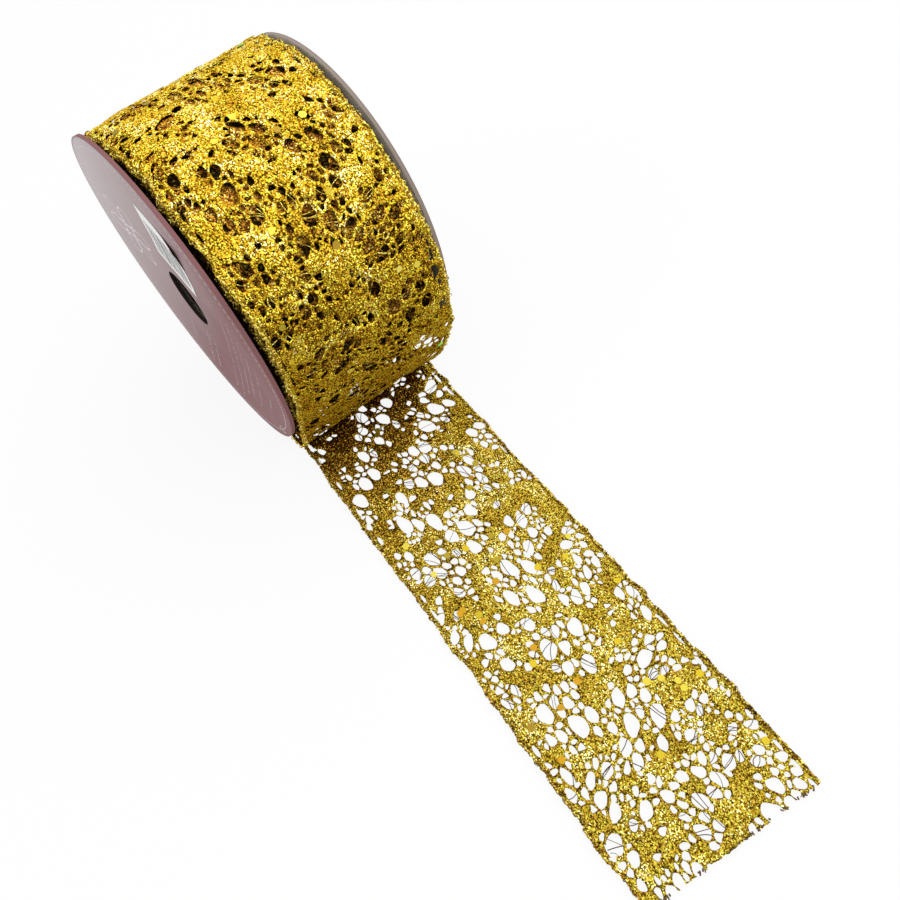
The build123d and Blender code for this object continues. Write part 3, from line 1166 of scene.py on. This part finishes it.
glue = plain_material("hot_glue", (0.75, 0.66, 0.45), 120.0, 0.3, 0.08, Coat_Weight=0.4)
paper = plain_material("sticker_paper", (0.74, 0.74, 0.72), 300.0, 0.55, 0.05)
pale_ink = plain_material("pale_ink", (0.58, 0.50, 0.52), 400.0, 0.5, 0.1)
grey_ink = plain_material("grey_ink", (0.16, 0.16, 0.16), 400.0, 0.6, 0.1)
CARD_PARTS = {
    "front_flange_board": board_material("tinted_board", edge=(0.2, 0.09, 0.092), face=(0.4, 0.36, 0.33)),
    "back_flange_board": board_material("grey_board", edge=(0.24, 0.2, 0.17), face=(0.6, 0.55, 0.47)),
    "front_flange_facing": facing_material("printed_facing", (0.196, 0.076, 0.077), 0.8),
    "back_flange_facing": facing_material("plain_facing", (0.165, 0.07, 0.07), 0.3),
    # The core tube, painted near black as painted shade for the dark inside of the bore.
    "core_tube": plain_material(
        "tube_board", (0.008, 0.006, 0.005), 260.0, 0.9, 0.3, Specular_IOR_Level=0.05
    ),
    "front_glue_bead": glue,
    "back_glue_bead": glue,
    "core_tape": plain_material("clear_tape", (0.62, 0.55, 0.4), 80.0, 0.2, 0.06, Coat_Weight=0.6),
}
for node, material in CARD_PARTS.items():
    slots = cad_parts[node].data.materials
    if not len(slots):
        slots.append(material)
    slots[0] = material

# ---- Build every piece
SECOND_LENGTH = ROUND * SECOND_RADIUS - 0.6


def settle(piece, body, slot, *nodes):
    """Puts a piece on its body and hides the CAD nodes it stands for. The slot argument is not used."""
    if body == "tail":
        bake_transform(piece)
    else:
        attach(piece, body)
    if nodes:
        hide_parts(*nodes)


# Each stretch has one seed for its edges and one for its holes
tail = Stretch(
    "tail", TAIL_START, TAIL_END, tail_place, (21, 11), (0.11, 0.35), 0.17, slant=TAIL_SLANT, spare=(2, 6)
)
turn = Stretch("turn", 0, TURN_LENGTH, turn_place, (22, 12), (0.3, 0), 0.22)
second = Stretch("second_turn", 0, SECOND_LENGTH, second_place, (23, 13), (0.2, 0), 0.11)

# The tail
settle(lace_sheet(tail, gold_lace), "tail", "gold_lace", "ribbon_tail")
settle(edge_cords(tail, 0.5, brown_cord), "tail", "gold_cord", "tail_edge_cords")
tail_threads = crossing_threads(tail) + cut_stubs(tail)
settle(tubes_object("_threads", tail_threads, tail, dark_thread), "tail", "gold_cord")
settle(sequins(tail, 30, 4, 44, dull_sequin), "tail", "gold_sequin", "tail_sequins")

# The loose turn
settle(lace_sheet(turn, painted_lit_lace, 1.25), "loose_turn", "gold_lace", "outer_turn")
settle(edge_cords(turn, 1.0, gold_cord), "loose_turn", "gold_cord", "outer_turn_edge_cords")
settle(tubes_object("_threads", crossing_threads(turn), turn, gold_cord), "loose_turn", "gold_cord")
settle(sequins(turn, 8, 35, 64, gold_sequin), "loose_turn", "gold_sequin", "outer_turn_sequins")

# The wound turns, and what is printed and stuck on the front disc
settle(wound_pack(), "spool", "dark_lace", "wound_ribbon")
settle(lace_sheet(second, dark_lace, 1.6), "spool", "dark_lace")
settle(edge_cords(second, 1.0, brown_cord), "spool", "gold_cord")
settle(printed_ink(pale_ink), "spool", "printed_facing")
settle(sticker_sheet(paper), "spool", "sticker_paper", "barcode_sticker")
settle(sticker_bars(grey_ink), "spool", "sticker_paper")

# ---- Floor, light and camera
FLOOR_CORNERS = ((-3000, -3000), (3000, -3000), (3000, 3000), (-3000, 3000))
FLOOR_GAP = 0.2
SKY_LIGHT = 0.6
SKY_SEEN = 0.97
AIM = Vector((0, -0.05, 0))

floor_material, _, _ = new_material(
    "floor_white",
    Base_Color=(0.08, 0.08, 0.08, 1),
    Roughness=1.0,
    Specular_IOR_Level=0.0,
    Emission_Color=(1, 1, 1, 1),
    Emission_Strength=0.88,
)
corners = [(x, y, table - FLOOR_GAP) for x, y in FLOOR_CORNERS]
new_mesh_object("floor", corners, [(0, 1, 2, 3)], floor_material, smooth=False)

# The sky gives a soft light, and looks white to the camera
world = bpy.data.worlds.new("studio")
bpy.context.scene.world = world
world.use_nodes = True
sky_tree = world.node_tree
sky = sky_tree.nodes["Background"]
sky.inputs["Color"].default_value = (1, 1, 1, 1)
seen = add_node(sky_tree, "LightPath").outputs["Is Camera Ray"]
sky_tree.links.new(map_range(sky_tree, seen, 0, 1, SKY_LIGHT, SKY_SEEN), sky.inputs["Strength"])


def area_light(name, place, size, power):
    """A soft square light at a place, turned towards the object."""
    data = bpy.data.lights.new(name, "AREA")
    data.size = size
    data.energy = power
    light = add_object(name, data)
    light.location = place
    light.rotation_euler = (AIM - Vector(place)).to_track_quat("-Z", "Y").to_euler()


area_light("key", (0.42, -0.16, 0.8), 2.2, 21.5)
area_light("left", (-0.8, 0.1, 0.5), 0.4, 2.2)

camera_data = bpy.data.cameras.new("camera")
camera_data.sensor_width = 36.0
camera_data.lens = 30.39
camera_data.clip_start = 0.005
camera = add_object("camera", camera_data)
camera_place = (-0.0714, -0.2160, 0.1889)
camera_forward = Vector((0.2764, 0.4589, -0.8444)).normalized()
camera_right = Vector((0.7515, -0.6509, -0.1078))
camera_right = (camera_right - camera_forward * camera_right.dot(camera_forward)).normalized()
camera_up = camera_right.cross(camera_forward)
turned = Matrix((camera_right, camera_up, -camera_forward)).transposed().to_4x4()
camera.matrix_world = Matrix.Translation(camera_place) @ turned
bpy.context.scene.camera = camera
bpy.context.scene.view_settings.view_transform = "Standard"
